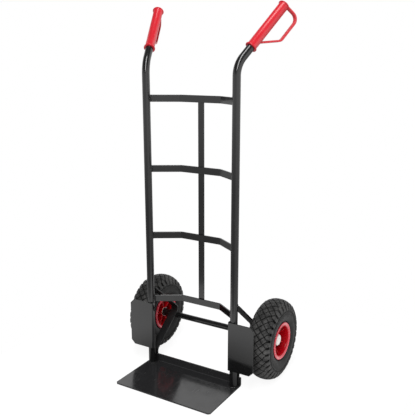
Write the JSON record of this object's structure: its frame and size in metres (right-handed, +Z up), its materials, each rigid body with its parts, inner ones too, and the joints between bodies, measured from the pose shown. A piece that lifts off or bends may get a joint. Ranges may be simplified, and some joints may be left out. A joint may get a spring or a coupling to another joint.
{
  "type": "hand truck",
  "caption": "Upright two-wheeled hand truck with bowed crossbars, a flat toe plate, pneumatic wheels and splayed handles with hand guards.",
  "frame": {"origin": "on the floor, under the middle of the overall width and depth", "axes": "+Z up, +X to the right as seen by someone facing the load side from the front, +Y towards the wheels and handles at the back"},
  "size_m": [0.5384, 0.4395, 1.1778],
  "materials": {
    "frame_paint": "gloss black powder coat",
    "axle_paint": "gloss black paint on round bar",
    "grip_plastic": "semi-gloss red moulded plastic",
    "rim_plastic": "gloss red moulded plastic",
    "tyre_rubber": "matt dark grey tread rubber",
    "tube_rubber": "matt black butyl rubber",
    "valve_plastic": "matt black cap",
    "cap_plastic": "satin white plastic",
    "bush_nylon": "natural nylon",
    "zinc_steel": "bright zinc plate",
    "dark_steel": "black zinc plate"
  },
  "bodies": {
    "frame": {"crossbar_1": "frame_paint", "crossbar_2": "frame_paint", "crossbar_3": "frame_paint", "crossbar_4": "frame_paint", "centre_strip": "frame_paint", "toe_plate": "frame_paint", "axle": "axle_paint", "left_upright": "frame_paint", "left_wheel_guard": "frame_paint", "left_axle_bracket": "frame_paint", "left_grip": "grip_plastic", "left_axle_spacer": "zinc_steel", "left_inner_washer": "zinc_steel", "left_outer_washer": "zinc_steel", "left_cotter_pin": "zinc_steel", "right_upright": "frame_paint", "right_wheel_guard": "frame_paint", "right_axle_bracket": "frame_paint", "right_grip": "grip_plastic", "right_axle_spacer": "zinc_steel", "right_inner_washer": "zinc_steel", "right_outer_washer": "zinc_steel", "right_cotter_pin": "zinc_steel"},
    "left_wheel": {"left_rim_outer": "rim_plastic", "left_rim_inner": "rim_plastic", "left_rim_bolts": "dark_steel", "left_rim_nuts": "dark_steel", "left_hub_bushes": "bush_nylon", "left_tyre": "tyre_rubber", "left_inner_tube": "tube_rubber", "left_valve": "tube_rubber", "left_valve_cap": "valve_plastic", "left_hub_cap": "cap_plastic"},
    "right_wheel": {"right_rim_outer": "rim_plastic", "right_rim_inner": "rim_plastic", "right_rim_bolts": "dark_steel", "right_rim_nuts": "dark_steel", "right_hub_bushes": "bush_nylon", "right_tyre": "tyre_rubber", "right_inner_tube": "tube_rubber", "right_valve": "tube_rubber", "right_valve_cap": "valve_plastic", "right_hub_cap": "cap_plastic"}
  },
  "joints": [
    {"name": "left_wheel_spin", "type": "hinge", "parent": "frame", "child": "left_wheel", "pos_m": [-0.229, 0.08825, 0.1315], "axis": [1, 0, 0], "continuous": true},
    {"name": "right_wheel_spin", "type": "hinge", "parent": "frame", "child": "right_wheel", "pos_m": [0.229, 0.08825, 0.1315], "axis": [1, 0, 0], "continuous": true}
  ]
}
